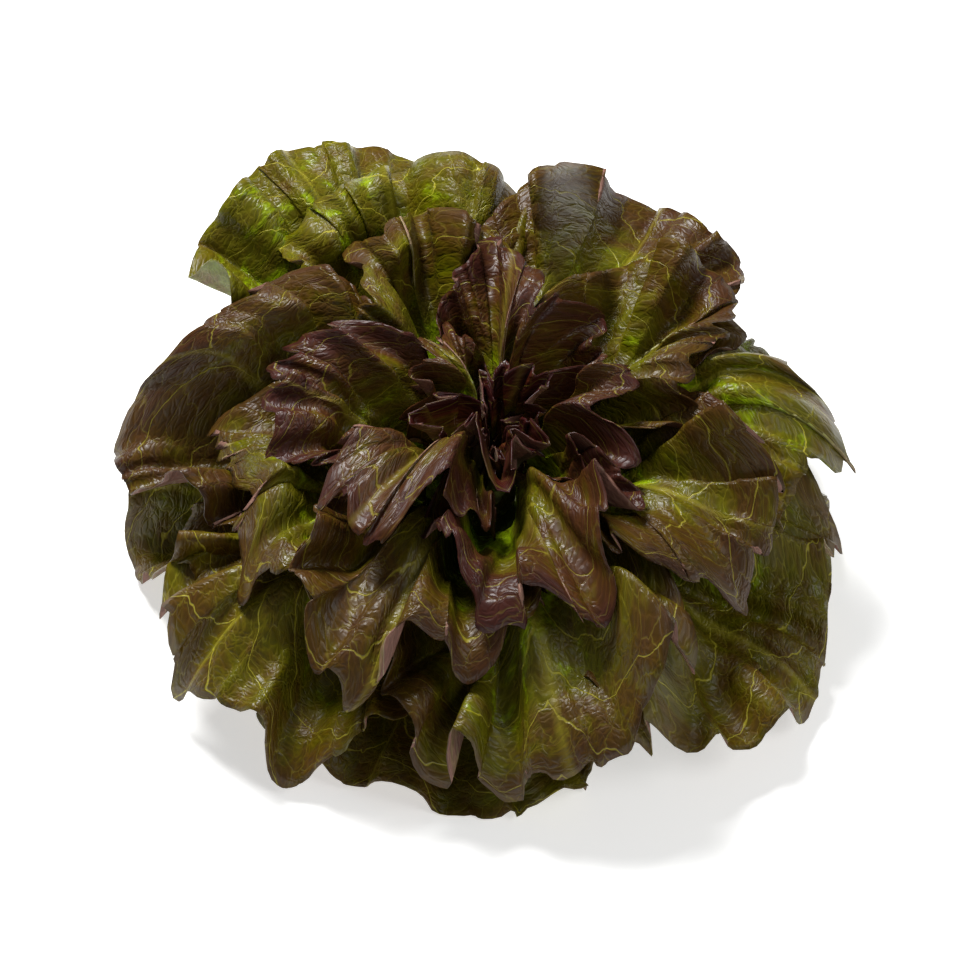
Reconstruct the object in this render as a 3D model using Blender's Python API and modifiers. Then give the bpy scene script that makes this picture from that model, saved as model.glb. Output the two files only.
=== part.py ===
"""Head of red batavia lettuce, cut at the stem, standing on its cut face.

Metres, +Z up, -Y to the front. The origin is the centre of the stem's cut face.
Each leaf is worked out in polar terms about the crown, a point inside the stem:
its azimuth round the head, its radius from the crown, and its lean away from the
upright. The leaves are laid from the outermost inwards, each held clear of those below.
"""

import math
import random

import bmesh
import bpy
import numpy as np

# The head
HEAD_SEED = 7
CROWN_HEIGHT = 0.012
FLOOR_GAP = 0.0012
GOLDEN_ANGLE = math.radians(137.508)
FIRST_AZIMUTH = math.radians(347.0)

# The stem
STEM_RADIUS = 0.0175
STEM_FOOT_RADIUS = 0.0165
STEM_SHOULDER_RADIUS = 0.012
STEM_TOP_RADIUS = 0.0085
STEM_TOP = 0.033
STEM_SHOULDER_DROP = 0.004
STEM_FOOT_RISE = 0.006
STEM_SIDES = 28
STEM_GAP = 0.0006
ROOT_SLACK = 1.02
LEAST_SHARE = 0.2

# The large leaves, by their number from the outermost: lengths in metres, leans in degrees
LARGE_LEAVES = 23
STATIONS = (0, 8, 16, 23)
REACH_AT = (0.170, 0.164, 0.146, 0.112)
HALF_WIDTH_AT = (0.074, 0.068, 0.052, 0.034)
TIP_LEAN_AT = (94.0, 86.0, 58.0, 34.0)
ROOT_LEAN_AT = (76.0, 64.0, 46.0, 31.0)
ROOT_HALF_WIDTH_AT = (0.010, 0.010, 0.008, 0.006)
RIB_DEPTH_AT = (0.0042, 0.0036, 0.0026, 0.0018)
WAVE_AT = (0.015, 0.015, 0.012, 0.007)
BACK_LEAN = 9.0
OUTER_LEAVES = 9
MIDDLE_LEAVES = 8

# The roll of a leaf's tip, by the same stations: its share of the reach, radius, and turn in degrees
ROLL_START_AT = (0.80, 0.76, 0.74, 0.78)
ROLL_RADIUS_AT = (0.030, 0.020, 0.015, 0.012)
ROLL_TURN_AT = (25.0, 50.0, 85.0, 60.0)
ROLL_ASIDE = 30.0
ROLL_START_DRAW = 0.04
ROLL_TURN_DRAW = (0.5, 1.4)
ROLL_SEED = 500

# The heart's small leaves
HEART_LEAVES = 10
HEART_REACH = (0.104, 0.062)
HEART_HALF_WIDTH = (0.028, 0.016)
HEART_TIP_LEAN = (24.0, 5.0)
HEART_ROOT_LEAN = (16.0, 3.0)
HEART_ROOT_RADIUS = 0.030
HEART_ROOT_HALF_WIDTH = 0.004
HEART_WAVE = (0.0050, 0.0030)
HEART_RIB_DEPTH = 0.0016
HEART_CLEARANCE = 0.0066
CORE_RADIUS = 0.007
CORE_TOP = 0.056
CORE_SIDES = 12
CORE_RINGS = 8

# The blade
BLADE_DEPTH = 0.0009
BLADE_CENTRE = 0.64
MARGIN_TURN = math.radians(128.0)
SIDE_BEND = 0.33
SHOULDER = (1.15, 0.6)
LEAN_CURVE = 1.5
CUP = 0.16
RIB_SPREAD = 0.30
RIB_FADE = 1.3
NARROWEST_ROUND = 0.34

# The lobes of the margin: share of the leaf's size, and how many across the leaf
LOBES = ((0.030, 1.0), (0.030, 2.3), (0.024, 3.9))
LOBE_SEED = 1000

# The margin's waves: share of the height, fewest and most across a leaf, and how near the margin they keep
MARGIN_WAVES = ((0.70, 1.2, 1.8, 1.8), (0.75, 2.8, 3.6, 2.4), (0.55, 4.4, 5.4, 3.4))
SWING = 0.22

# How close the leaves lie, in the crowding lattice
SETTLE_SAMPLES = (97, 81)
LATTICE_TURNS = 180
LATTICE_RINGS = 42
RING_STEP = 0.005
ROOT_CLEARANCE = 0.0007
BLADE_CLEARANCE = 0.0028
BLADE_RADIUS = 0.080
UPRIGHT_LEAN = math.radians(5.0)

# Squares across and along a blade, for the outer, middle and inner leaves and the heart
GRIDS = ((18, 6), (16, 5), (16, 6))
HEART_GRID = (7, 4)

# What a leaf departs by from the rule, by its number: turn round the head and lean in degrees, and longer,
# wider and wave in metres. roll is the turn of its tip's roll in degrees.
DEPARTURES = {
    0: {"turn": 4, "longer": -0.012},
    1: {"turn": -3, "lean": -24, "longer": 0.034, "wider": 0.002},
    2: {"turn": -11, "longer": -0.026, "wider": 0.018},
    3: {"turn": -10, "lean": -14, "longer": -0.008},
    4: {"turn": 0, "lean": -4, "longer": -0.004},
    5: {"turn": 11, "longer": -0.002, "wider": 0.010},
    6: {"turn": 19, "lean": -12, "longer": 0.014},
    7: {"turn": -12, "lean": -2},
    8: {"lean": -6},
    9: {"turn": 22, "lean": -5, "longer": 0.008},
    11: {"turn": -2, "lean": -4, "longer": 0.018, "wider": 0.004, "roll": 20},
    12: {"turn": 4, "lean": -8, "roll": 90},
    15: {"turn": -2, "lean": -4, "roll": 110},
    16: {"lean": 4, "longer": 0.010, "wider": 0.006},
    17: {"turn": 14, "roll": 50},
    18: {"turn": -16, "lean": 4, "wider": 0.008, "roll": 115},
    20: {"turn": 12, "lean": 8, "longer": 0.006, "wider": 0.004, "roll": 90},
    21: {"lean": 3, "wave": -0.003},
    22: {"lean": 5, "wider": -0.005, "wave": -0.002},
}

MATERIALS = {
    "stem": ((0.72, 0.74, 0.50), 0.55),
    "outer_leaf": ((0.085, 0.095, 0.016), 0.42),
    "middle_leaf": ((0.105, 0.072, 0.018), 0.40),
    "inner_leaf": ((0.110, 0.038, 0.018), 0.36),
    "heart": ((0.085, 0.016, 0.012), 0.34),
}


def clear_scene():
    for old in list(bpy.data.objects):
        bpy.data.objects.remove(old, do_unlink=True)


def material(name):
    colour, roughness = MATERIALS[name]
    made = bpy.data.materials.new(name)
    made.use_nodes = True
    shader = made.node_tree.nodes["Principled BSDF"]
    shader.inputs["Base Color"].default_value = (*colour, 1.0)
    shader.inputs["Roughness"].default_value = roughness
    shader.inputs["Metallic"].default_value = 0.0
    made.diffuse_color = (*colour, 1.0)
    return made


def large_leaf(number):
    """The rule for one large leaf, with its departures."""
    at = {
        name: float(np.interp(number, STATIONS, values))
        for name, values in (
            ("reach", REACH_AT),
            ("half_width", HALF_WIDTH_AT),
            ("tip_lean", TIP_LEAN_AT),
            ("root_lean", ROOT_LEAN_AT),
            ("root_half_width", ROOT_HALF_WIDTH_AT),
            ("rib_depth", RIB_DEPTH_AT),
            ("wave", WAVE_AT),
            ("roll_start", ROLL_START_AT),
            ("roll_radius", ROLL_RADIUS_AT),
            ("roll_turn", ROLL_TURN_AT),
        )
    }
    own = DEPARTURES.get(number, {})
    azimuth = FIRST_AZIMUTH + number * GOLDEN_ANGLE + math.radians(own.get("turn", 0.0))
    rearward = math.sin(azimuth)
    at["tip_lean"] += own.get("lean", 0.0) - BACK_LEAN * max(0.0, rearward)
    at["reach"] += own.get("longer", 0.0)
    at["half_width"] += own.get("wider", 0.0)
    at["wave"] += own.get("wave", 0.0)
    draw = random.Random(HEAD_SEED + ROLL_SEED + number)
    aside = draw.uniform(-ROLL_ASIDE, ROLL_ASIDE)
    start = at["roll_start"] + draw.uniform(-ROLL_START_DRAW, ROLL_START_DRAW)
    turn = at["roll_turn"] * draw.uniform(*ROLL_TURN_DRAW)
    roll = (aside, start, at["roll_radius"], own.get("roll", turn))
    at.update(azimuth=azimuth, seed=HEAD_SEED + number, curls=(roll,))
    at["root_radius"] = root_radius(math.radians(at["root_lean"]))
    at["clearance"] = BLADE_CLEARANCE
    return at


def heart_leaf(number):
    share = number / (HEART_LEAVES - 1)

    def between(ends):
        return ends[0] + (ends[1] - ends[0]) * share

    return {
        "reach": between(HEART_REACH),
        "half_width": between(HEART_HALF_WIDTH),
        "tip_lean": between(HEART_TIP_LEAN),
        "root_lean": between(HEART_ROOT_LEAN),
        "root_half_width": HEART_ROOT_HALF_WIDTH,
        "rib_depth": HEART_RIB_DEPTH,
        "wave": between(HEART_WAVE),
        "azimuth": FIRST_AZIMUTH + (LARGE_LEAVES + number) * GOLDEN_ANGLE,
        "seed": HEAD_SEED + LARGE_LEAVES + number,
        "curls": (),
        "root_radius": HEART_ROOT_RADIUS,
        "clearance": HEART_CLEARANCE,
    }


def root_radius(lean):
    """Distance from the crown to just outside the stem, in the direction of that lean."""
    side = STEM_RADIUS / max(math.sin(lean), LEAST_SHARE)
    top = (STEM_TOP - CROWN_HEIGHT) / max(math.cos(lean), LEAST_SHARE)
    return min(side, top) * ROOT_SLACK + STEM_GAP


def margin_waves(leaf):
    """Share of the height, waves across the leaf, phase, and how close to the margin each wave keeps."""
    draw = random.Random(leaf["seed"])
    return [
        (share, draw.uniform(fewest, most), draw.uniform(0, math.tau), keep)
        for share, fewest, most, keep in MARGIN_WAVES
    ]


def flat_blade(leaf, across, along):
    """Where a point of the blade lies when the leaf is pressed flat: sideways and outwards from the crown."""
    draw = random.Random(leaf["seed"] + LOBE_SEED)
    lobes = sum(
        size * np.sin(count * math.pi * across + draw.uniform(0, math.tau))
        for size, count in LOBES
    )
    turn = across * MARGIN_TURN
    reach, centre = leaf["reach"], BLADE_CENTRE * leaf["reach"]
    margin_x = leaf["half_width"] * np.sin(turn) * (1 + lobes)
    margin_y = centre + (reach - centre) * np.cos(turn) * (1 + lobes)
    root_x = leaf["root_half_width"] * across
    root_y = leaf["root_radius"]
    lift = np.abs(across) ** 1.5
    bend_x = root_x * (SHOULDER[0] + SHOULDER[1] * np.abs(across))
    bend_y = (1 - lift) * (root_y + reach) / 2 + lift * SIDE_BEND * reach
    before, middle, after = (1 - along) ** 2, 2 * along * (1 - along), along**2
    return (
        before * root_x + middle * bend_x + after * margin_x,
        before * root_y + middle * bend_y + after * margin_y,
    )


def curled(leaf, x, y):
    """The flat blade with its curls rolled back: new x and y, and how far each point stands off outwards."""
    off = np.zeros_like(x)
    for direction, start, radius, turn in leaf["curls"]:
        away = math.radians(direction)
        past = np.maximum(0.0, x * math.sin(away) + y * math.cos(away) - start * leaf["reach"])
        bent = np.minimum(past / radius, math.radians(abs(turn)))
        rest = past - bent * radius
        forward = radius * np.sin(bent) + rest * np.cos(bent) - past
        x = x + forward * math.sin(away)
        y = y + forward * math.cos(away)
        off = off + math.copysign(1, turn) * (radius * (1 - np.cos(bent)) + rest * np.sin(bent))
    return x, y, off


def leaf_form(leaf, across, along):
    """Azimuth, radius and lean of a leaf's upper face: across runs from -1 to 1, along from 0 to 1."""
    x, y = flat_blade(leaf, across, along)
    swing = np.zeros_like(x)
    off = np.zeros_like(x)
    for share, count, phase, keep in margin_waves(leaf):
        wave = leaf["wave"] * share * along**keep
        angle = count * math.pi * across + phase
        off = off + wave * np.sin(angle)
        swing = swing + SWING * wave * np.sin(2 * angle)
    turn = across * MARGIN_TURN
    x = x - swing * np.cos(turn)
    y = y + swing * np.sin(turn)
    off = off - CUP * leaf["half_width"] * across**2 * along
    x, y, rolled = curled(leaf, x, y)
    off = off + rolled
    radius = np.hypot(x, y)
    aside = np.arctan2(x, y)
    rise = np.clip((radius - leaf["root_radius"]) / (leaf["reach"] - leaf["root_radius"]), 0, 1)
    root_lean, tip_lean = math.radians(leaf["root_lean"]), math.radians(leaf["tip_lean"])
    lean = root_lean + (tip_lean - root_lean) * (1 - (1 - rise) ** LEAN_CURVE)
    round_head = max(math.sin((root_lean + tip_lean) / 2), NARROWEST_ROUND)
    azimuth = leaf["azimuth"] - aside / round_head
    return azimuth, np.hypot(radius, off), lean + np.arctan2(off, radius)


def blade_depth(leaf, across, along):
    """Thickness of the leaf: a rib under the middle that fades towards the margin."""
    rib = leaf["rib_depth"] * (1 - along) ** RIB_FADE * np.exp(-((across / RIB_SPREAD) ** 2))
    return BLADE_DEPTH + rib


def lattice_cells(azimuth, radius):
    turn = np.mod(azimuth / math.tau, 1.0) * LATTICE_TURNS
    ring = np.clip(radius / RING_STEP, 0, LATTICE_RINGS - 1.001)
    return turn, ring


def read_lattice(field, azimuth, radius):
    """The field between its lattice points."""
    turn, ring = lattice_cells(azimuth, radius)
    a, r = np.floor(turn).astype(int), np.floor(ring).astype(int)
    fa, fr = turn - a, ring - r
    a, b = a % LATTICE_TURNS, (a + 1) % LATTICE_TURNS
    near = field[r, a] * (1 - fa) + field[r, b] * fa
    far = field[r + 1, a] * (1 - fa) + field[r + 1, b] * fa
    return near * (1 - fr) + far * fr


def neighbours(field):
    """The field moved by each of the nine steps to a lattice point's neighbours and itself."""
    tall = np.vstack([field[:1], field, field[-1:]])
    return [
        np.roll(tall[1 + up : LATTICE_RINGS + 1 + up], step, axis=1)
        for up in (-1, 0, 1)
        for step in (-1, 0, 1)
    ]


def spread_push(push):
    """Widens and then smooths a push, which stays at least as large everywhere."""
    for _ in range(2):
        push = np.maximum.reduce(neighbours(push))
    for _ in range(2):
        push = np.mean(neighbours(push), axis=0)
    return push


def floor_lean():
    """The furthest lean at each ring that stays above the floor."""
    radius = np.maximum(np.arange(LATTICE_RINGS) * RING_STEP, 1e-6)
    lowest = np.clip((FLOOR_GAP - CROWN_HEIGHT) / radius, -0.85, 1)
    return np.repeat(np.arccos(lowest)[:, None], LATTICE_TURNS, axis=1)


def settle(leaf, room):
    """Pushes a leaf in until it clears the leaves below it, and takes its place from the room left."""
    samples_across, samples_along = SETTLE_SAMPLES
    across, along = np.meshgrid(np.linspace(-1, 1, samples_across), np.linspace(0, 1, samples_along))
    azimuth, radius, lean = leaf_form(leaf, across, along)
    share = np.clip(radius / BLADE_RADIUS, 0, 1)
    clearance = ROOT_CLEARANCE + (leaf["clearance"] - ROOT_CLEARANCE) * share**1.5
    depth = blade_depth(leaf, across, along)
    limit = read_lattice(room, azimuth, radius) - (clearance + depth) / radius
    turn, ring = lattice_cells(azimuth, radius)
    cell = (np.rint(ring).astype(int), np.rint(turn).astype(int) % LATTICE_TURNS)
    push = np.zeros_like(room)
    np.maximum.at(push, cell, np.maximum(0, lean - limit))
    push = spread_push(push)
    leaf["push"] = push
    taken = np.full_like(room, math.pi)
    np.minimum.at(taken, cell, lean - read_lattice(push, azimuth, radius))
    taken = np.minimum.reduce(neighbours(taken))
    return np.minimum(room, taken)


def leaf_points(leaf, across, along):
    azimuth, radius, lean = leaf_form(leaf, across, along)
    lean = lean - read_lattice(leaf["push"], azimuth, radius)
    lean = (lean + np.hypot(lean, UPRIGHT_LEAN)) / 2
    level = radius * np.sin(lean)
    return np.stack(
        [level * np.cos(azimuth), level * np.sin(azimuth), CROWN_HEIGHT + radius * np.cos(lean)],
        axis=-1,
    )


def blade_object(name, leaf, grid, collection, finish):
    """One leaf: a waved sheet of triangles with its rib's thickness."""
    squares_across, squares_along = grid
    bm = bmesh.new()
    bmesh.ops.create_grid(bm, x_segments=squares_across, y_segments=squares_along, size=1.0)
    across = np.array([v.co.x for v in bm.verts])
    along = (np.array([v.co.y for v in bm.verts]) + 1) / 2
    for vertex, point in zip(bm.verts, leaf_points(leaf, across, along)):
        vertex.co = point
    bmesh.ops.triangulate(bm, faces=bm.faces, quad_method="FIXED")
    mesh = bpy.data.meshes.new(name)
    bm.to_mesh(mesh)
    bm.free()
    mesh.materials.append(finish)
    blade = bpy.data.objects.new(name, mesh)
    collection.objects.link(blade)
    depths = blade_depth(leaf, across, along)
    deepest = float(depths.max())
    group = blade.vertex_groups.new(name="depth")
    for index, depth in enumerate(depths):
        group.add([index], float(depth) / deepest, "REPLACE")
    solid = blade.modifiers.new("thickness", "SOLIDIFY")
    solid.thickness = deepest
    solid.offset = -1.0
    solid.vertex_group = group.name
    return blade


def stem_object(collection, finish):
    """The stub of stem: a turned profile with its cut face down."""
    profile = (
        (0.0, STEM_TOP),
        (STEM_TOP_RADIUS, STEM_TOP),
        (STEM_SHOULDER_RADIUS, STEM_TOP - STEM_SHOULDER_DROP),
        (STEM_RADIUS, CROWN_HEIGHT + STEM_SHOULDER_DROP),
        (STEM_RADIUS, STEM_FOOT_RISE),
        (STEM_FOOT_RADIUS, 0.0),
        (0.0, 0.0),
    )
    mesh = bpy.data.meshes.new("stem")
    points = [(x, 0.0, z) for x, z in profile]
    mesh.from_pydata(points, [(i, i + 1) for i in range(len(points) - 1)], [])
    mesh.materials.append(finish)
    stem = bpy.data.objects.new("stem", mesh)
    collection.objects.link(stem)
    turned = stem.modifiers.new("turned", "SCREW")
    turned.steps = turned.render_steps = STEM_SIDES
    turned.use_merge_vertices = True
    turned.merge_threshold = 0.00005
    return stem


def core_object(collection, finish):
    """The heart's small core, which its leaves grow from: a pinched ball cut flat just above the stem."""
    bm = bmesh.new()
    bmesh.ops.create_uvsphere(bm, u_segments=CORE_SIDES, v_segments=CORE_RINGS, radius=1.0)
    bottom = STEM_TOP + STEM_GAP
    height = CORE_TOP - bottom
    for vertex in bm.verts:
        vertex.co.x *= CORE_RADIUS
        vertex.co.y *= CORE_RADIUS
        vertex.co.z = bottom + height * (vertex.co.z + 0.5) / 1.5
    cut = bmesh.ops.bisect_plane(
        bm,
        geom=bm.verts[:] + bm.edges[:] + bm.faces[:],
        plane_co=(0, 0, bottom),
        plane_no=(0, 0, -1),
        clear_outer=True,
    )
    rim = [edge for edge in cut["geom_cut"] if isinstance(edge, bmesh.types.BMEdge)]
    bmesh.ops.contextual_create(bm, geom=rim)
    bmesh.ops.recalc_face_normals(bm, faces=bm.faces)
    mesh = bpy.data.meshes.new("heart")
    bm.to_mesh(mesh)
    bm.free()
    mesh.materials.append(finish)
    core = bpy.data.objects.new("heart", mesh)
    collection.objects.link(core)
    return core


def keep_largest_shell(mesh):
    """Fills the pockets that joined leaves seal off, and drops loose scraps, by keeping the largest shell."""
    bm = bmesh.new()
    bm.from_mesh(mesh)
    left = set(bm.verts)
    shells = []
    while left:
        shell, edge_of_shell = set(), [left.pop()]
        while edge_of_shell:
            vertex = edge_of_shell.pop()
            shell.add(vertex)
            found = {edge.other_vert(vertex) for edge in vertex.link_edges} & left
            left -= found
            edge_of_shell.extend(found)
        shells.append(shell)
    shells.sort(key=len)
    for shell in shells[:-1]:
        bmesh.ops.delete(bm, geom=list(shell), context="VERTS")
    bm.to_mesh(mesh)
    bm.free()


def heart_object(leaves, collection, finish):
    """The heart: its small leaves joined to their core in one body."""
    loose = bpy.data.collections.new("heart_leaves")
    bpy.context.scene.collection.children.link(loose)
    for number, leaf in enumerate(leaves):
        blade_object(f"heart_leaf_{number + 1:02d}", leaf, HEART_GRID, loose, finish)
    core = core_object(collection, finish)
    joined = core.modifiers.new("joined", "BOOLEAN")
    joined.operation = "UNION"
    joined.operand_type = "COLLECTION"
    joined.collection = loose
    joined.solver = "MANIFOLD"
    graph = bpy.context.evaluated_depsgraph_get()
    mesh = bpy.data.meshes.new_from_object(core.evaluated_get(graph))
    core.modifiers.clear()
    core.data = mesh
    keep_largest_shell(mesh)
    for blade in list(loose.objects):
        bpy.data.objects.remove(blade, do_unlink=True)
    bpy.data.collections.remove(loose)
    return core


def main():
    clear_scene()
    head = bpy.data.collections.new("batavia_lettuce")
    bpy.context.scene.collection.children.link(head)
    finishes = {name: material(name) for name in MATERIALS}
    stem_object(head, finishes["stem"])
    room = floor_lean()
    for number in range(LARGE_LEAVES):
        leaf = large_leaf(number)
        room = settle(leaf, room)
        place = 0 if number < OUTER_LEAVES else 1 if number < OUTER_LEAVES + MIDDLE_LEAVES else 2
        kind = ("outer", "middle", "inner")[place]
        blade_object(f"{kind}_leaf_{number + 1:02d}", leaf, GRIDS[place], head, finishes[f"{kind}_leaf"])
    small = []
    for number in range(HEART_LEAVES):
        leaf = heart_leaf(number)
        settle(leaf, room)
        small.append(leaf)
    heart_object(small, head, finishes["heart"])


main()
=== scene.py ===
# Head of red batavia lettuce, standing on its cut stem, on a pale studio floor.
# Metres, +Z up, -Y to the front. The leaves are laid by the same rule as the solids.

import math
import random

import bmesh
import bpy
import numpy as np
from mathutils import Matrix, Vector


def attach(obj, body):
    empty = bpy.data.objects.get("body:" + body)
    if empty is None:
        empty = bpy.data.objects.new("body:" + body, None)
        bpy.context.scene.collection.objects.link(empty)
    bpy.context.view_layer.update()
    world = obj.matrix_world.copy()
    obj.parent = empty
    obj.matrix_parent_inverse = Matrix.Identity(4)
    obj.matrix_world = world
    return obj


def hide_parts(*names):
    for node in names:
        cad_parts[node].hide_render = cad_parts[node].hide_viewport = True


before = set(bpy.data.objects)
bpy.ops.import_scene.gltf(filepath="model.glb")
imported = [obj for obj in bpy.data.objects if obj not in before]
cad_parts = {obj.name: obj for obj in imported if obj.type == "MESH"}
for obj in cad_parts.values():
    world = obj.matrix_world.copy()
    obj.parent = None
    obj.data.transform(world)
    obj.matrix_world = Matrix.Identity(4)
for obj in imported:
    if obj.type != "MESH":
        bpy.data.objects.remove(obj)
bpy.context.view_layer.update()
print("frame loaded:", len(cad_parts), "nodes")

# what every leaf shares
head = {
    "seed": 7,
    "crownHeight": 0.012,  # every leaf is worked out round this point inside the stem
    "floorGap": 0.0012,
    "lowest": 0.0016,  # no leaf's upper face comes nearer the floor
    "goldenAngle": math.radians(137.508),
    "firstAzimuth": math.radians(347.0),
    "stemRadius": 0.0175,
    "stemTop": 0.033,
    "stemGap": 0.0006,
    "rootSlack": 1.02,
    "leastShare": 0.2,
    "uprightLean": math.radians(5.0),
}

# the large leaves, by number from the outermost: metres and degrees
large = {
    "count": 23,
    "stations": (0, 8, 16, 23),
    "reach": (0.170, 0.164, 0.146, 0.112),
    "halfWidth": (0.074, 0.068, 0.052, 0.034),
    "tipLean": (94.0, 86.0, 58.0, 34.0),
    "rootLean": (76.0, 64.0, 46.0, 31.0),
    "rootHalfWidth": (0.010, 0.010, 0.008, 0.006),
    "ribDepth": (0.0042, 0.0036, 0.0026, 0.0018),
    "wave": (0.015, 0.015, 0.012, 0.007),
    "rollStart": (0.80, 0.76, 0.74, 0.78),
    "rollRadius": (0.030, 0.020, 0.015, 0.012),
    "rollTurn": (25.0, 50.0, 85.0, 60.0),
    "rollAside": 30.0,
    "rollStartDraw": 0.04,
    "rollTurnDraw": (0.5, 1.4),
    "rollSeed": 500,
    "backLean": 9.0,
    "outer": 9,
    "middle": 8,
}

# what single leaves depart by from the rule
departures = {
    0: {"turn": 4, "longer": -0.012},
    1: {"turn": -3, "lean": -24, "longer": 0.034, "wider": 0.002},
    2: {"turn": -11, "longer": -0.026, "wider": 0.018},
    3: {"turn": -10, "lean": -14, "longer": -0.008},
    4: {"turn": 0, "lean": -4, "longer": -0.004},
    5: {"turn": 11, "longer": -0.002, "wider": 0.010},
    6: {"turn": 19, "lean": -12, "longer": 0.014},
    7: {"turn": -12, "lean": -2},
    8: {"lean": -6},
    9: {"turn": 22, "lean": -5, "longer": 0.008},
    11: {"turn": -2, "lean": -4, "longer": 0.018, "wider": 0.004, "roll": 20},
    12: {"turn": 4, "lean": -8, "roll": 90},
    15: {"turn": -2, "lean": -4, "roll": 110},
    16: {"lean": 4, "longer": 0.010, "wider": 0.006},
    17: {"turn": 14, "roll": 50},
    18: {"turn": -16, "lean": 4, "wider": 0.008, "roll": 115},
    20: {"turn": 12, "lean": 8, "longer": 0.006, "wider": 0.004, "roll": 90},
    21: {"lean": 3, "wave": -0.003},
    22: {"lean": 5, "wider": -0.005, "wave": -0.002},
}

# the heart's small leaves, from its outermost to its innermost
heart = {
    "count": 10,
    "reach": (0.104, 0.062),
    "halfWidth": (0.028, 0.016),
    "tipLean": (24.0, 5.0),
    "rootLean": (16.0, 3.0),
    "rootRadius": 0.030,
    "rootHalfWidth": 0.004,
    "wave": (0.0050, 0.0030),
    "ribDepth": 0.0016,
    "clearance": 0.0066,
}

# the blade that all leaves share
blade = {
    "depth": 0.0009,
    "centre": 0.64,
    "marginTurn": math.radians(128.0),
    "sideBend": 0.33,
    "shoulder": (1.15, 0.6),
    "liftCurve": 1.5,
    "leanCurve": 1.5,
    "cup": 0.16,
    "ribSpread": 0.30,
    "ribFade": 1.3,
    "narrowestRound": 0.34,
    # share of the leaf's size, and how many across the leaf
    "lobes": ((0.030, 1.0), (0.030, 2.3), (0.024, 3.9)),
    "lobeSeed": 1000,
    # share of the height, fewest and most across the leaf, and how near the margin they keep
    "waves": ((0.70, 1.2, 1.8, 1.8), (0.75, 2.8, 3.6, 2.4), (0.55, 4.4, 5.4, 3.4)),
    "swing": 0.22,
}

# how the leaves crowd one another
lattice = {
    "samples": (97, 81),
    "turns": 180,
    "rings": 42,
    "ringStep": 0.005,
    "rootClearance": 0.0007,
    "bladeClearance": 0.0028,
    "bladeRadius": 0.080,
    "clearanceCurve": 1.5,
    "spreadRounds": 2,
    "underLevel": -0.85,  # cosine of the furthest that a leaf may lean below the level
}


def largeLeaf(number):
    own = departures.get(number, {})
    at = {
        name: float(np.interp(number, large["stations"], large[name]))
        for name in (
            "reach", "halfWidth", "tipLean", "rootLean", "rootHalfWidth", "ribDepth", "wave",
            "rollStart", "rollRadius", "rollTurn",
        )
    }
    azimuth = head["firstAzimuth"] + number * head["goldenAngle"] + math.radians(own.get("turn", 0.0))
    at["tipLean"] += own.get("lean", 0.0) - large["backLean"] * max(0.0, math.sin(azimuth))
    at["reach"] += own.get("longer", 0.0)
    at["halfWidth"] += own.get("wider", 0.0)
    at["wave"] += own.get("wave", 0.0)
    draw = random.Random(head["seed"] + large["rollSeed"] + number)
    aside = draw.uniform(-large["rollAside"], large["rollAside"])
    start = at["rollStart"] + draw.uniform(-large["rollStartDraw"], large["rollStartDraw"])
    turn = at["rollTurn"] * draw.uniform(*large["rollTurnDraw"])
    at["roll"] = (aside, start, at["rollRadius"], own.get("roll", turn))
    at.update(azimuth=azimuth, seed=head["seed"] + number, clearance=lattice["bladeClearance"])
    at["rootRadius"] = rootRadius(math.radians(at["rootLean"]))
    return at


def heartLeaf(number):
    share = number / (heart["count"] - 1)
    at = {name: heart[name][0] + (heart[name][1] - heart[name][0]) * share
          for name in ("reach", "halfWidth", "tipLean", "rootLean", "wave")}
    place = large["count"] + number
    azimuth = head["firstAzimuth"] + place * head["goldenAngle"]
    at.update(azimuth=azimuth, seed=head["seed"] + place, roll=None)
    at.update({name: heart[name] for name in ("rootRadius", "rootHalfWidth", "ribDepth", "clearance")})
    return at


def rootRadius(lean):
    side = head["stemRadius"] / max(math.sin(lean), head["leastShare"])
    top = (head["stemTop"] - head["crownHeight"]) / max(math.cos(lean), head["leastShare"])
    return min(side, top) * head["rootSlack"] + head["stemGap"]


def marginWaves(leaf):
    draw = random.Random(leaf["seed"])
    return [
        (share, draw.uniform(fewest, most), draw.uniform(0, math.tau), keep)
        for share, fewest, most, keep in blade["waves"]
    ]


# the fine shape that only the looks have: scallops and frills of the margin, and puckers of the blade
relief = {
    # share of the leaf's size, and how many rounded scallops across the leaf
    "scallops": ((0.052, 9.0, 12.0), (0.030, 20.0, 26.0), (0.010, 38.0, 46.0)),
    # height, fewest and most across the leaf, and how near the margin they keep
    "frills": ((0.0084, 4.8, 6.8, 2.3), (0.0056, 9.0, 12.0, 3.2), (0.0026, 17.0, 23.0, 5.5)),
    # how far the size varies along the margin round its mean, and how often it does
    "scallopSwell": (0.7, 0.5, (1.5, 3.5)),
    "scallopCrowding": (0.8, (1.0, 2.0)),  # how far they crowd together in places, and how often
    "scallopRoundness": 0.65,  # below 1 the bulges are round and the notches sharp
    "scallopMean": 0.7,
    "frillSwell": (0.75, 0.4, (1.4, 2.6)),
    "frillCrowding": (0.9, (0.8, 1.7)),
    "fullWidth": 0.060,  # half width from which a leaf has its frills in full
    "leastCount": 0.75,
    "leastHeight": 0.35,
    "swing": 0.30,
    # height and size of the puckers, in metres
    "puckers": ((0.0014, 0.021), (0.0009, 0.010)),
    "puckerStart": 2.2,
    "puckerFade": (0.6, 8),
    "puckerSharpness": 1.3,
    "rootSpread": 0.004,  # the looks' roots clasp the stem a little wider
    "seed": 2000,
}


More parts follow.
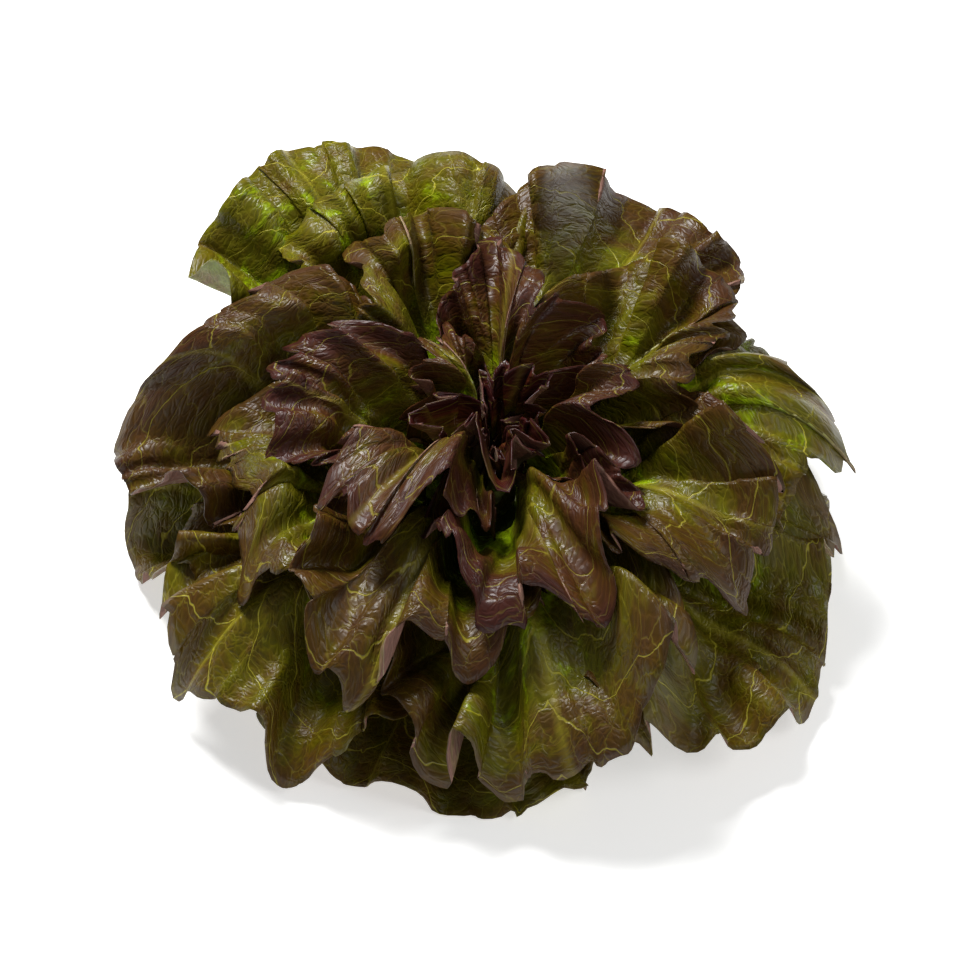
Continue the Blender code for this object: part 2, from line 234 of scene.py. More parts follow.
def scallops(leaf, across):
    # rounded bulges of the margin with sharp notches between them
    draw = random.Random(leaf["seed"] + relief["seed"])
    total = np.zeros_like(across)
    mean, vary, often = relief["scallopSwell"]
    crowd, crowdOften = relief["scallopCrowding"]
    for size, fewest, most in relief["scallops"]:
        angle = draw.uniform(fewest, most) * math.pi * across / 2 + draw.uniform(0, math.pi)
        swell = mean + vary * np.sin(draw.uniform(*often) * math.pi * across + draw.uniform(0, math.tau))
        angle = angle + crowd * np.sin(draw.uniform(*crowdOften) * math.pi * across)
        bulge = np.abs(np.sin(angle)) ** relief["scallopRoundness"]
        total += size * swell * (bulge - relief["scallopMean"])
    return total


def flatBlade(leaf, across, along, fine=False):
    # where a point of the blade lies with the leaf pressed flat: sideways and outwards from the crown
    draw = random.Random(leaf["seed"] + blade["lobeSeed"])
    lobes = sum(
        size * np.sin(count * math.pi * across + draw.uniform(0, math.tau)) for size, count in blade["lobes"]
    )
    if fine:
        lobes = lobes + scallops(leaf, across)
    turn = across * blade["marginTurn"]
    reach, centre = leaf["reach"], blade["centre"] * leaf["reach"]
    marginX = leaf["halfWidth"] * np.sin(turn) * (1 + lobes)
    marginY = centre + (reach - centre) * np.cos(turn) * (1 + lobes)
    rootX = (leaf["rootHalfWidth"] + (relief["rootSpread"] if fine else 0.0)) * across
    rootY = leaf["rootRadius"]
    lift = np.abs(across) ** blade["liftCurve"]
    bendX = rootX * (blade["shoulder"][0] + blade["shoulder"][1] * np.abs(across))
    bendY = (1 - lift) * (rootY + reach) / 2 + lift * blade["sideBend"] * reach
    before, middle, after = (1 - along) ** 2, 2 * along * (1 - along), along**2
    return (
        before * rootX + middle * bendX + after * marginX,
        before * rootY + middle * bendY + after * marginY,
    )


def rolled(leaf, x, y):
    off = np.zeros_like(x)
    if not leaf["roll"]:
        return x, y, off
    direction, start, radius, turn = leaf["roll"]
    away = math.radians(direction)
    past = np.maximum(0.0, x * math.sin(away) + y * math.cos(away) - start * leaf["reach"])
    bent = np.minimum(past / radius, math.radians(abs(turn)))
    rest = past - bent * radius
    forward = radius * np.sin(bent) + rest * np.cos(bent) - past
    off = math.copysign(1, turn) * (radius * (1 - np.cos(bent)) + rest * np.sin(bent))
    return x + forward * math.sin(away), y + forward * math.cos(away), off


lump = {"waves": 9, "stretch": (1.5, 2.8)}


def lumps(x, y, seed, size):
    # a smooth random field of lumps about this size across, made of waves that cross one another
    draw = random.Random(seed)
    total = np.zeros_like(x)
    for _ in range(lump["waves"]):
        heading = draw.uniform(0, math.tau)
        step = math.tau / (size * draw.uniform(*lump["stretch"]))
        total += np.sin(step * (x * math.cos(heading) + y * math.sin(heading)) + draw.uniform(0, math.tau))
    return total / math.sqrt(lump["waves"])


def frills(leaf, across, along):
    # how far the frills stand off, and how far they swing back along the margin
    draw = random.Random(leaf["seed"] + 2 * relief["seed"])
    off, swing = np.zeros_like(across), np.zeros_like(across)
    share = min(1.0, leaf["halfWidth"] / relief["fullWidth"])
    countShare = relief["leastCount"] + (1 - relief["leastCount"]) * share
    heightShare = relief["leastHeight"] + (1 - relief["leastHeight"]) * share
    mean, vary, often = relief["frillSwell"]
    crowd, crowdOften = relief["frillCrowding"]
    for height, fewest, most, keep in relief["frills"]:
        count = draw.uniform(fewest, most) * countShare
        angle = count * math.pi * across + draw.uniform(0, math.tau)
        place = draw.uniform(*crowdOften) * math.pi * across + draw.uniform(0, math.tau)
        angle = angle + crowd * np.sin(place)
        swell = mean + vary * np.sin(draw.uniform(*often) * math.pi * across + draw.uniform(0, math.tau))
        size = height * heightShare * swell * along**keep
        off += size * np.sin(angle)
        swing += relief["swing"] * size * np.sin(2 * angle)
    return off, swing


def puckers(leaf, x, y, along):
    fall, fallCurve = relief["puckerFade"]
    fade = np.clip(along * relief["puckerStart"], 0, 1) * (1 - fall * along**fallCurve)
    off = np.zeros_like(x)
    for place, (height, size) in enumerate(relief["puckers"]):
        cells = lumps(x, y, leaf["seed"] + (3 + place) * relief["seed"], size)
        off -= height * fade * (1 - np.abs(cells) * relief["puckerSharpness"])
    return off


def leafForm(leaf, across, along, fine=False):
    x, y = flatBlade(leaf, across, along, fine)
    swing = np.zeros_like(x)
    off = np.zeros_like(x)
    pucker = puckers(leaf, x, y, along) if fine else 0.0
    for share, count, phase, keep in marginWaves(leaf):
        wave = leaf["wave"] * share * along**keep
        angle = count * math.pi * across + phase
        off = off + wave * np.sin(angle)
        swing = swing + blade["swing"] * wave * np.sin(2 * angle)
    if fine:
        frill, back = frills(leaf, across, along)
        off = off + frill + pucker
        swing = swing + back
    turn = across * blade["marginTurn"]
    x = x - swing * np.cos(turn)
    y = y + swing * np.sin(turn)
    off = off - blade["cup"] * leaf["halfWidth"] * across**2 * along
    x, y, lifted = rolled(leaf, x, y)
    off = off + lifted
    radius = np.hypot(x, y)
    aside = np.arctan2(x, y)
    rise = np.clip((radius - leaf["rootRadius"]) / (leaf["reach"] - leaf["rootRadius"]), 0, 1)
    rootLean, tipLean = math.radians(leaf["rootLean"]), math.radians(leaf["tipLean"])
    lean = rootLean + (tipLean - rootLean) * (1 - (1 - rise) ** blade["leanCurve"])
    roundHead = max(math.sin((rootLean + tipLean) / 2), blade["narrowestRound"])
    return leaf["azimuth"] - aside / roundHead, np.hypot(radius, off), lean + np.arctan2(off, radius)


def bladeDepth(leaf, across, along, thin=None):
    rib = leaf["ribDepth"] * (1 - along) ** blade["ribFade"] * np.exp(-((across / blade["ribSpread"]) ** 2))
    return (thin or blade["depth"]) + rib


def latticeCells(azimuth, radius):
    return (
        np.mod(azimuth / math.tau, 1.0) * lattice["turns"],
        np.clip(radius / lattice["ringStep"], 0, lattice["rings"] - 1.001),
    )


def readLattice(field, azimuth, radius):
    turn, ring = latticeCells(azimuth, radius)
    a, r = np.floor(turn).astype(int), np.floor(ring).astype(int)
    fa, fr = turn - a, ring - r
    a, b = a % lattice["turns"], (a + 1) % lattice["turns"]
    near = field[r, a] * (1 - fa) + field[r, b] * fa
    far = field[r + 1, a] * (1 - fa) + field[r + 1, b] * fa
    return near * (1 - fr) + far * fr


def neighbours(field):
    tall = np.vstack([field[:1], field, field[-1:]])
    return [
        np.roll(tall[1 + up : lattice["rings"] + 1 + up], step, axis=1)
        for up in (-1, 0, 1)
        for step in (-1, 0, 1)
    ]


def spreadPush(push):
    for _ in range(lattice["spreadRounds"]):
        push = np.maximum.reduce(neighbours(push))
    for _ in range(lattice["spreadRounds"]):
        push = np.mean(neighbours(push), axis=0)
    return push


def floorLean():
    radius = np.maximum(np.arange(lattice["rings"]) * lattice["ringStep"], 1e-6)
    lowest = np.clip((head["floorGap"] - head["crownHeight"]) / radius, lattice["underLevel"], 1)
    return np.repeat(np.arccos(lowest)[:, None], lattice["turns"], axis=1)


def settle(leaf, room):
    # pushes a leaf in until it clears those below it, and takes its place from the room that is left
    samplesAcross, samplesAlong = lattice["samples"]
    across, along = np.meshgrid(np.linspace(-1, 1, samplesAcross), np.linspace(0, 1, samplesAlong))
    azimuth, radius, lean = leafForm(leaf, across, along)
    share = np.clip(radius / lattice["bladeRadius"], 0, 1)
    least = lattice["rootClearance"]
    clearance = least + (leaf["clearance"] - least) * share ** lattice["clearanceCurve"]
    limit = readLattice(room, azimuth, radius) - (clearance + bladeDepth(leaf, across, along)) / radius
    turn, ring = latticeCells(azimuth, radius)
    cell = (np.rint(ring).astype(int), np.rint(turn).astype(int) % lattice["turns"])
    push = np.zeros_like(room)
    np.maximum.at(push, cell, np.maximum(0, lean - limit))
    push = spreadPush(push)
    leaf["push"] = push
    taken = np.full_like(room, math.pi)
    np.minimum.at(taken, cell, lean - readLattice(push, azimuth, radius))
    taken = np.minimum.reduce(neighbours(taken))
    return np.minimum(room, taken)


def leafPoints(leaf, across, along):
    azimuth, radius, lean = leafForm(leaf, across, along, fine=True)
    lean = lean - readLattice(leaf["push"], azimuth, radius)
    lean = (lean + np.hypot(lean, head["uprightLean"])) / 2
    level = radius * np.sin(lean)
    height = np.maximum(head["crownHeight"] + radius * np.cos(lean), head["lowest"])
    return np.stack([level * np.cos(azimuth), level * np.sin(azimuth), height], axis=-1)


def hexColour(text):
    parts = [int(text[i : i + 2], 16) / 255 for i in (1, 3, 5)]
    return tuple(p / 12.92 if p <= 0.04045 else ((p + 0.055) / 1.055) ** 2.4 for p in parts) + (1.0,)


def addNode(tree, kind, settings=None, links=None):
    # a setting named like one of the node's properties goes there, and any other to the socket of that name
    node = tree.nodes.new(kind)
    for name, value in (settings or {}).items():
        if isinstance(name, str) and hasattr(node, name):
            setattr(node, name, value)
        else:
            node.inputs[name].default_value = value
    for name, source in (links or {}).items():
        socket = source if isinstance(source, bpy.types.NodeSocket) else source.outputs[0]
        tree.links.new(socket, node.inputs[name])
    return node


def newMaterial(name):
    material = bpy.data.materials.new(name)
    material.use_nodes = True
    material.node_tree.nodes.clear()
    return material, material.node_tree


# blade skin: living leaf tissue under a thin wax, so it is glossy. Its colours run from the fresh green of
# the root through olive to the red-brown flush of what the sun reaches. Its underside is matt and mauve
skin = {
    "fresh": "#99b60a",
    "olive": "#565603",
    "vein": "#bfb63a",
    "roughness": (0.29, 0.48),
    "underFresh": "#758425",
    "underFlush": "#7a584c",
    "underVein": "#b9b089",
    "underRoughness": (0.50, 0.70),
    "ior": 1.40,
    "shine": 0.36,
    "netSize": 8.0,  # mm between the small veins
    "netLine": (0.035, 0.32),  # their width as a share of that, and how pale they are
    "netBend": 7.0,  # mm by which the nets are pushed about
    "bendSize": 8.333,  # mm
    "meshSize": 2.4,  # mm between the smallest veins
    "meshLine": 0.28,
    "meshShade": (1.22, 0.90),  # brightness on the smallest veins and between them
    "blisterSize": 4.5,  # mm
    "grainSize": 0.769,  # mm
    "blotchSize": 11.111,  # mm
    "blotchRange": (0.3, 0.7),
    "mottle": 1.1,  # how far the blotches shift the flush
    "oliveFrom": (0.02, 0.30),  # flush at which the fresh green starts to turn, and where it has turned
    "flushFrom": (0.26, 0.70),
    "darkFrom": (0.62, 1.05),
    "waver": 0.7,  # turns by which the side veins stray
    "waverSize": 16.667,  # mm
    "veinEdge": (1.0, 0.35),  # where a side vein starts and where it is full, in its half widths
    "underVeinShow": 0.5,
    "veinSpacing": 1 / 6.5,  # of the leaf's length
    "veinSweep": (0.62, 0.8),  # how much further out a side vein lies at the margin than at the midrib
    "veinHalfWidth": (0.00058, 0.00008),  # metres, at the midrib and where it fades
    "veinTaper": (0.75, 0.6),  # how much thinner they are at the margin, and at the leaf's tip
    "veinLimits": (0.004, 0.3),  # least and greatest half width in turns
    "veinShift": 0.37,  # turns from one leaf to the next
    "midribHalfWidth": 0.0042,
    "midribThinnest": 0.0003,
    "midribTaper": 1.2,
    "midribFade": 0.6,
    "patternShift": 37.0,  # mm from one leaf's patterns to the next
    "blushCurve": 2.0,  # how close to the margin the flush keeps
    "blushDraw": 0.12,
    "blushLumps": (0.10, 0.035),
}
# the skin's relief: how much each pattern raises or sinks it, as shares of its height in metres
bumps = {
    "swell": (0.35, 0.8),  # how far from the small veins the tissue is full, and how high
    "blister": -0.35,
    "vein": -0.7,
    "grain": 0.06,
    "mesh": 0.45,
    "strength": 0.45,
    "upper": 0.0009,
    "under": -0.0006,
}
tints = {
    "outer": {"flush": "#513f04", "dark": "#472b07", "veinShow": 0.52, "blush": (0.06, 0.58)},
    "middle": {"flush": "#493607", "dark": "#3e230d", "veinShow": 0.34, "blush": (-0.02, 0.86)},
    "inner": {"flush": "#472c0b", "dark": "#381912", "veinShow": 0.24, "blush": (-0.02, 1.02)},
    "heart": {"flush": "#4f2510", "dark": "#310f0e", "veinShow": 0.18, "blush": (0.10, 1.10)},
}


def veinShader(tree, flat):
    # the "veins" map runs across the side veins in turns, and gives their half width in the same turns
    place = addNode(tree, "ShaderNodeUVMap", {"uv_map": "veins"})
    parts = addNode(tree, "ShaderNodeSeparateXYZ", {}, {0: place})
    strays = {"noise_dimensions": "2D", "Scale": 1 / skin["waverSize"], "Detail": 3.0}
    waver = addNode(tree, "ShaderNodeTexNoise", strays, {"Vector": flat})
    centred = {"operation": "MULTIPLY_ADD", 1: skin["waver"], 2: -skin["waver"] / 2}
    waver = addNode(tree, "ShaderNodeMath", centred, {0: waver})
    turns = addNode(tree, "ShaderNodeMath", {"operation": "ADD"}, {0: parts.outputs[0], 1: waver})
    near = addNode(tree, "ShaderNodeMath", {"operation": "PINGPONG", 1: 0.5}, {0: turns})
    near = addNode(tree, "ShaderNodeMath", {"operation": "DIVIDE"}, {0: near, 1: parts.outputs[1]})
    start, full = skin["veinEdge"]
    side = addNode(tree, "ShaderNodeMapRange", {1: start, 2: full}, {0: near})
    # the net of small veins between them
    bends = {"noise_dimensions": "2D", "Scale": 1 / skin["bendSize"], "Detail": 3.0}
    bent = addNode(tree, "ShaderNodeTexNoise", bends, {"Vector": flat}).outputs[1]
    bend = {"operation": "MULTIPLY_ADD", 1: (skin["netBend"], skin["netBend"], 0.0)}
    bent = addNode(tree, "ShaderNodeVectorMath", bend, {0: bent, 2: flat})
    cells = {"voronoi_dimensions": "2D", "feature": "DISTANCE_TO_EDGE", "Scale": 1 / skin["netSize"]}
    net = addNode(tree, "ShaderNodeTexVoronoi", cells, {"Vector": bent})
    width, show = skin["netLine"]
    fine = addNode(tree, "ShaderNodeMapRange", {1: width, 2: 0.0, 3: 0.0, 4: show}, {0: net})
    rib = addNode(tree, "ShaderNodeAttribute", {"attribute_name": "rib"}).outputs[2]
    lines = addNode(tree, "ShaderNodeMath", {"operation": "MAXIMUM"}, {0: side, 1: fine})
    lines = addNode(tree, "ShaderNodeMath", {"operation": "MAXIMUM"}, {0: lines, 1: rib})
    return lines, net, bent


def leafMaterial(name, tint, under=False):
    # one face of a leaf. "blush" on each point says how red the tissue is there
    material, tree = newMaterial(name)
    flat = addNode(tree, "ShaderNodeUVMap", {"uv_map": "flat"})
    lines, net, bent = veinShader(tree, flat)
    patches = {"noise_dimensions": "2D", "Scale": 1 / skin["blotchSize"], "Detail": 5.0, "Roughness": 0.6}
    blotch = addNode(tree, "ShaderNodeTexNoise", patches, {"Vector": flat})
    grains = {"noise_dimensions": "2D", "Scale": 1 / skin["grainSize"], "Detail": 3.0}
    grain = addNode(tree, "ShaderNodeTexNoise", grains, {"Vector": flat})
    blush = addNode(tree, "ShaderNodeAttribute", {"attribute_name": "blush"}).outputs[2]
    centred = {"operation": "MULTIPLY_ADD", 1: skin["mottle"], 2: -skin["mottle"] / 2}
    mottle = addNode(tree, "ShaderNodeMath", centred, {0: blotch})
    mottle = addNode(tree, "ShaderNodeMath", {"operation": "ADD"}, {0: mottle, 1: blush})
    green, red, deep = [
        addNode(tree, "ShaderNodeMapRange", {1: skin[turn][0], 2: skin[turn][1]}, {0: mottle})
        for turn in ("oliveFrom", "flushFrom", "darkFrom")
    ]
    if under:
        ends = {6: hexColour(skin["underFresh"]), 7: hexColour(skin["underFlush"])}
        colour = addNode(tree, "ShaderNodeMix", {"data_type": "RGBA", **ends}, {0: red}).outputs[2]
    else:
        ends = {6: hexColour(skin["fresh"]), 7: hexColour(skin["olive"])}
        colour = addNode(tree, "ShaderNodeMix", {"data_type": "RGBA", **ends}, {0: green}).outputs[2]
        redder = {"data_type": "RGBA", 7: hexColour(tint["flush"])}
        colour = addNode(tree, "ShaderNodeMix", redder, {0: red, 6: colour}).outputs[2]
        darker = {"data_type": "RGBA", 7: hexColour(tint["dark"])}
        colour = addNode(tree, "ShaderNodeMix", darker, {0: deep, 6: colour}).outputs[2]
    # the mesh of the smallest veins, between which the tissue is a little darker
    smallest = {"voronoi_dimensions": "2D", "feature": "DISTANCE_TO_EDGE", "Scale": 1 / skin["meshSize"]}
    mesh = addNode(tree, "ShaderNodeTexVoronoi", smallest, {"Vector": bent})
    mesh = addNode(tree, "ShaderNodeMapRange", {1: 0.0, 2: skin["meshLine"]}, {0: mesh})
    onVein, between = skin["meshShade"]
    shade = addNode(tree, "ShaderNodeMapRange", {3: onVein, 4: between}, {0: mesh})
    shaded = addNode(tree, "ShaderNodeVectorMath", {"operation": "SCALE"}, {0: colour, "Scale": shade})
    share = {"operation": "MULTIPLY", 1: skin["underVeinShow"] if under else tint["veinShow"]}
    show = addNode(tree, "ShaderNodeMath", share, {0: lines})
    pale = {"data_type": "RGBA", 7: hexColour(skin["underVein" if under else "vein"])}
    colour = addNode(tree, "ShaderNodeMix", pale, {0: show, 6: shaded}).outputs[2]
    # the normal: soft blisters between the veins, which are sunk in the upper face and raised below
    blisters = {"voronoi_dimensions": "2D", "feature": "SMOOTH_F1", "Smoothness": 1.0}
    blisters["Scale"] = 1 / skin["blisterSize"]
    domes = addNode(tree, "ShaderNodeTexVoronoi", blisters, {"Vector": bent})
    far, full = bumps["swell"]
    rounded = {"interpolation_type": "SMOOTHSTEP", 1: 0.0, 2: far, 4: full}
    height = addNode(tree, "ShaderNodeMapRange", rounded, {0: net})
    for part, pattern in (("blister", domes), ("vein", lines), ("grain", grain), ("mesh", mesh)):
        weigh = {"operation": "MULTIPLY_ADD", 1: bumps[part]}
        height = addNode(tree, "ShaderNodeMath", weigh, {0: pattern, 2: height})
    rise = {"Strength": bumps["strength"], "Distance": bumps["under" if under else "upper"]}
    bump = addNode(tree, "ShaderNodeBump", rise, {"Height": height})
    (least, most), (low, high) = skin["blotchRange"], skin["underRoughness" if under else "roughness"]
    rough = addNode(tree, "ShaderNodeMapRange", {1: least, 2: most, 3: low, 4: high}, {0: blotch})
    sockets = {"Base Color": colour, "Roughness": rough, "Normal": bump}
    wax = {"IOR": skin["ior"], "Specular IOR Level": skin["shine"], "Metallic": 0.0}
    shader = addNode(tree, "ShaderNodeBsdfPrincipled", wax, sockets)
    addNode(tree, "ShaderNodeOutputMaterial", {}, {0: shader})
    return material


leafMaterials = {}
for kind, tint in tints.items():
    upper = leafMaterial(kind + "LeafUpperSkin", tint)
    leafMaterials[kind] = (upper, leafMaterial(kind + "LeafUnderside", tint, under=True))
print("leaf skins made")

detail = {"large": (160, 48), "small": (72, 36), "bladeThin": 0.00045}


def sideVeins(leaf, across, along, flatX, flatY, shape):
    # which turn of the side veins a point lies on, and the veins' half width there in the same turns
    aside = np.abs(across)
    sweep, curve = skin["veinSweep"]
    # the veins of the right half start half a turn further out, and each leaf's start somewhere else
    turns = (along - sweep * aside**curve) / skin["veinSpacing"] + 0.5 * (across > 0)
    turns = turns + leaf["seed"] * skin["veinShift"]
    (turnV, turnU), (xV, xU), (yV, yU) = [np.gradient(v.reshape(shape)) for v in (turns, flatX, flatY)]
    turnU = np.where(np.abs(turnU) > 0.3, 0.0, turnU)  # the step at the midrib is no slope
    area = np.maximum(np.abs(xU * yV - xV * yU), 1e-9)
    perMetre = np.hypot(turnU * yV - turnV * yU, turnV * xU - turnU * xV) / area
    wide, thin = skin["veinHalfWidth"]
    atMargin, atTip = skin["veinTaper"]
    halfWidth = wide * (1 - atMargin * aside) * (1 - atTip * along) + thin
    return turns, np.clip(halfWidth * perMetre.ravel(), *skin["veinLimits"])


def addMaps(mesh, maps):
    corners = np.empty(len(mesh.loops), np.int32)
    mesh.loops.foreach_get("vertex_index", corners)
    for name, u, v in maps:
        layer = mesh.uv_layers.new(name=name)
        layer.data.foreach_set("uv", np.stack([u, v], axis=-1)[corners].ravel())


def addPointValues(mesh, values):
    for name, value in values:
        mesh.attributes.new(name, "FLOAT", "POINT").data.foreach_set("value", value.astype(np.float32))


def bladePiece(name, leaf, grid, kind):
    bm = bmesh.new()
    bmesh.ops.create_grid(bm, x_segments=grid[0], y_segments=grid[1], size=1.0)
    across = np.array([v.co.x for v in bm.verts])
    along = (np.array([v.co.y for v in bm.verts]) + 1) / 2
    for vertex, point in zip(bm.verts, leafPoints(leaf, across, along)):
        vertex.co = point
    mesh = bpy.data.meshes.new(name)
    bm.to_mesh(mesh)
    bm.free()
    piece = bpy.data.objects.new(name, mesh)
    bpy.context.scene.collection.objects.link(piece)
    flatX, flatY = flatBlade(leaf, across, along)
    turns, halfWidth = sideVeins(leaf, across, along, flatX, flatY, (grid[1] + 1, grid[0] + 1))
    shift = leaf["seed"] * skin["patternShift"]
    addMaps(mesh, (("veins", turns, halfWidth), ("flat", flatX * 1000 + shift, flatY * 1000)))
    low, high = tints[kind]["blush"]
    tone = random.Random(leaf["seed"] + 6 * relief["seed"]).uniform(-skin["blushDraw"], skin["blushDraw"])
    share, size = skin["blushLumps"]
    patchy = share * lumps(flatX, flatY, leaf["seed"] + 7 * relief["seed"], size)
    blush = low + (high - low) * along ** skin["blushCurve"] + tone + patchy
    ribHalfWidth = skin["midribHalfWidth"] * (1.02 - along) ** skin["midribTaper"] + skin["midribThinnest"]
    rib = np.clip(1.6 - np.abs(flatX) / ribHalfWidth, 0, 1) * (1 - skin["midribFade"] * along)
    addPointValues(mesh, (("blush", blush), ("rib", rib)))
    for material in leafMaterials[kind]:
        mesh.materials.append(material)
    mesh.shade_smooth()
    depths = bladeDepth(leaf, across, along, detail["bladeThin"])
    deepest = float(depths.max())
    group = piece.vertex_groups.new(name="depth")
    for index, depth in enumerate(depths):
        group.add([index], float(depth) / deepest, "REPLACE")
    solid = piece.modifiers.new("thickness", "SOLIDIFY")
    solid.thickness = deepest
    solid.offset = -1.0
    solid.vertex_group = group.name
    solid.material_offset = 1
    solid.material_offset_rim = 0
    return piece


room = floorLean()
for number in range(large["count"]):
    leaf = largeLeaf(number)
    room = settle(leaf, room)
    place = 0 if number < large["outer"] else 1 if number < large["outer"] + large["middle"] else 2
    kind = ("outer", "middle", "inner")[place]
    node = f"{kind}_leaf_{number + 1:02d}"
    piece = bladePiece(f"{kind}Leaf{number + 1:02d}", leaf, detail["large"], kind)
    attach(piece, "root")
    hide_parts(node)
print("large leaves laid")

for number in range(heart["count"]):
    leaf = heartLeaf(number)
    settle(leaf, room)
    piece = bladePiece(f"heartLeaf{number + 1:02d}", leaf, detail["small"], "heart")
    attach(piece, "root")
    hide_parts("heart")
print("heart leaves laid")

# the heart's small core, which its leaves grow from. It hides the stem's top
core = {"radius": 0.0115, "top": 0.056, "sides": 32, "rings": 20, "blush": 0.4}


def heartCore():
    bm = bmesh.new()
    bmesh.ops.create_uvsphere(bm, u_segments=core["sides"], v_segments=core["rings"], radius=1.0)
    bottom = head["stemTop"] + head["stemGap"]
    for vertex in bm.verts:
        vertex.co.x *= core["radius"]
        vertex.co.y *= core["radius"]
        vertex.co.z = max(bottom, bottom + (core["top"] - bottom) * (vertex.co.z + 0.5) / 1.5)
    mesh = bpy.data.meshes.new("heartCore")
    bm.to_mesh(mesh)
    bm.free()
    place = np.array([v.co for v in mesh.vertices]) * 1000
    plain = np.zeros(len(place))
    addMaps(mesh, (("veins", plain + 0.5, plain + 0.1), ("flat", place[:, 0], place[:, 2])))
    addPointValues(mesh, (("blush", plain + core["blush"]), ("rib", plain)))
    mesh.materials.append(leafMaterials["heart"][0])
    mesh.shade_smooth()
    piece = bpy.data.objects.new("heartCore", mesh)
    bpy.context.scene.collection.objects.link(piece)
    return piece


middle = heartCore()
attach(middle, "root")
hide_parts("heart")
print("heart core made")

# cut stem: pale wet flesh, faintly browned on the cut face where its milk has dried, and greener at the top
stem = {
    "flesh": "#c9cf9b",
    "skin": "#b4bd7e",
    "top": "#4c5a18",
    "cut": "#b98d5c",
    "roughness": 0.45,
    "ior": 1.40,
    "fibres": (420.0, 420.0, 40.0),  # strings 2.4 mm across and 25 mm long
    "blotches": 160.0,  # 6 mm across
    "greenFrom": (0.010, 0.022),  # heights in metres
    "cutFrom": (0.0016, 0.0001),
    "brownPatches": (0.35, 0.70),
    "relief": 0.0005,
}


def stemMaterial():
    material, tree = newMaterial("cutStemFlesh")
    place = addNode(tree, "ShaderNodeTexCoord").outputs[3]
    parts = addNode(tree, "ShaderNodeSeparateXYZ", {}, {0: place})
    fibre = addNode(tree, "ShaderNodeMapping", {"Scale": stem["fibres"]}, {"Vector": place})
    strings = addNode(tree, "ShaderNodeTexNoise", {"Scale": 1.0, "Detail": 4.0}, {"Vector": fibre})
    blotch = addNode(tree, "ShaderNodeTexNoise", {"Scale": stem["blotches"], "Detail": 5.0}, {"Vector": place})
    ends = {"data_type": "RGBA", 6: hexColour(stem["skin"]), 7: hexColour(stem["flesh"])}
    colour = addNode(tree, "ShaderNodeMix", ends, {0: strings}).outputs[2]
    low, high = stem["greenFrom"]
    upper = addNode(tree, "ShaderNodeMapRange", {1: low, 2: high}, {0: parts.outputs[2]})
    green = {"data_type": "RGBA", 7: hexColour(stem["top"])}
    colour = addNode(tree, "ShaderNodeMix", green, {0: upper, 6: colour}).outputs[2]
    above, below = stem["cutFrom"]
    atCut = addNode(tree, "ShaderNodeMapRange", {1: above, 2: below}, {0: parts.outputs[2]})
    start, full = stem["brownPatches"]
    patches = addNode(tree, "ShaderNodeMapRange", {1: start, 2: full}, {0: blotch})
    browned = addNode(tree, "ShaderNodeMath", {"operation": "MULTIPLY"}, {0: atCut, 1: patches})
    brown = {"data_type": "RGBA", 7: hexColour(stem["cut"])}
    colour = addNode(tree, "ShaderNodeMix", brown, {0: browned, 6: colour}).outputs[2]
    rise = {"Strength": 0.5, "Distance": stem["relief"]}
    bump = addNode(tree, "ShaderNodeBump", rise, {"Height": strings})
    settings = {"Roughness": stem["roughness"], "IOR": stem["ior"]}
    shader = addNode(tree, "ShaderNodeBsdfPrincipled", settings, {"Base Color": colour, "Normal": bump})
    addNode(tree, "ShaderNodeOutputMaterial", {}, {0: shader})
    return material


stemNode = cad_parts["stem"]
stemNode.data.materials.clear()
stemNode.data.materials.append(stemMaterial())
print("stem finished")

# the studio: pale floor that glows with painted light, with a painted shadow under the head where that glow is
# taken away; one soft light behind the head to the left and a weaker one in front to the right
studio = {
    "floor": "#e4e4e3",
    "floorHalf": 4.0,
    # the floor's emission is painted light that makes its cast shadows fainter
    "paintedFloorLight": 0.70,
    "paintedShadowRadius": (0.06, 0.12),  # metres. Under the head the floor's painted light fades out to a painted shadow, where no light reaches it
    "sky": 0.15,
    "key": {"place": (-0.40, 0.60, 1.25), "size": 0.45, "power": 33.0},
    "fill": {"place": (0.9, -0.4, 1.1), "size": 0.6, "power": 5.0},
}


def softLight(name, settings):
    lamp = bpy.data.lights.new(name, "AREA")
    lamp.size = settings["size"]
    lamp.energy = settings["power"]
    light = bpy.data.objects.new(name, lamp)
    light.location = settings["place"]
    aim = Vector((0, 0, 0.05)) - Vector(settings["place"])
    light.rotation_euler = aim.to_track_quat("-Z", "Y").to_euler()
    bpy.context.scene.collection.objects.link(light)


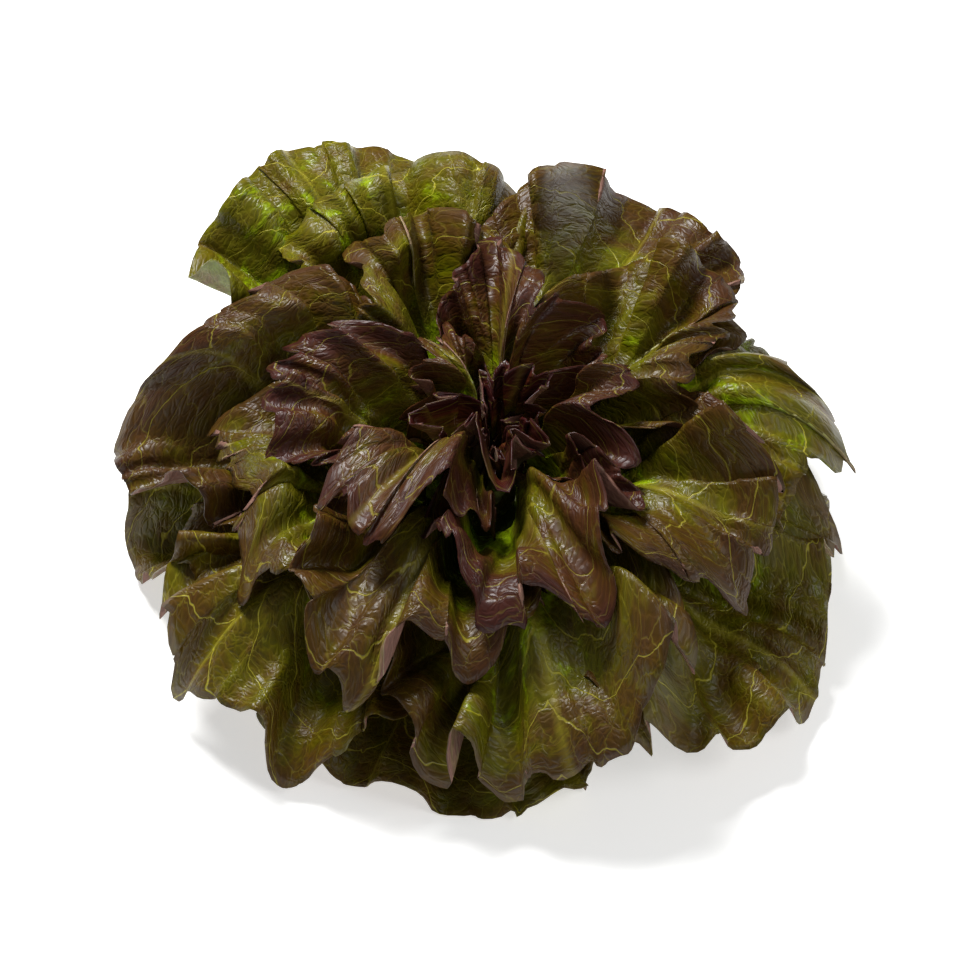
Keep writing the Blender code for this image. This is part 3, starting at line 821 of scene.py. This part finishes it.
def studioFloor():
    bm = bmesh.new()
    bmesh.ops.create_grid(bm, x_segments=8, y_segments=8, size=studio["floorHalf"])
    mesh = bpy.data.meshes.new("studioFloor")
    bm.to_mesh(mesh)
    bm.free()
    floor = bpy.data.objects.new("studioFloor", mesh)
    bpy.context.scene.collection.objects.link(floor)
    material, tree = newMaterial("mattPaper")
    white = hexColour(studio["floor"])
    place = addNode(tree, "ShaderNodeTexCoord").outputs[3]
    radius = addNode(tree, "ShaderNodeVectorMath", {"operation": "LENGTH"}, {0: place}).outputs[1]
    near, far = studio["paintedShadowRadius"]
    # painted floor light, faded to a painted shadow under the head
    paintedFloorLight = addNode(tree, "ShaderNodeMapRange", {1: near, 2: far, 3: 0.0, 4: studio["paintedFloorLight"]}, {0: radius})
    settings = {"Base Color": white, "Roughness": 0.8, "Emission Color": white}
    shader = addNode(tree, "ShaderNodeBsdfPrincipled", settings, {"Emission Strength": paintedFloorLight})
    addNode(tree, "ShaderNodeOutputMaterial", {}, {0: shader})
    mesh.materials.append(material)


studioFloor()
softLight("keyLight", studio["key"])
softLight("fillLight", studio["fill"])
world = bpy.data.worlds.new("paleStudio")
world.use_nodes = True
background = world.node_tree.nodes["Background"]
background.inputs["Color"].default_value = (1.0, 1.0, 1.0, 1.0)
background.inputs["Strength"].default_value = studio["sky"]
bpy.context.scene.world = world
bpy.context.scene.view_settings.view_transform = "Standard"

# the camera: a long lens from the front, 51 degrees above the floor
view = {
    "lens": 100.0,
    "elevation": math.radians(51.0),
    "distance": 1.180,
    "aim": (-0.0044, 0.0, 0.045),
    "rise": 0.00265,
}
lens = bpy.data.cameras.new("camera")
lens.lens = view["lens"]
camera = bpy.data.objects.new("camera", lens)
away = Vector((0.0, -math.cos(view["elevation"]), math.sin(view["elevation"])))
upwards = Vector((0.0, math.sin(view["elevation"]), math.cos(view["elevation"])))
camera.location = Vector(view["aim"]) + away * view["distance"] + upwards * view["rise"]
camera.rotation_euler = (-away).to_track_quat("-Z", "Y").to_euler()
bpy.context.scene.collection.objects.link(camera)
bpy.context.scene.camera = camera
print("studio and camera set")
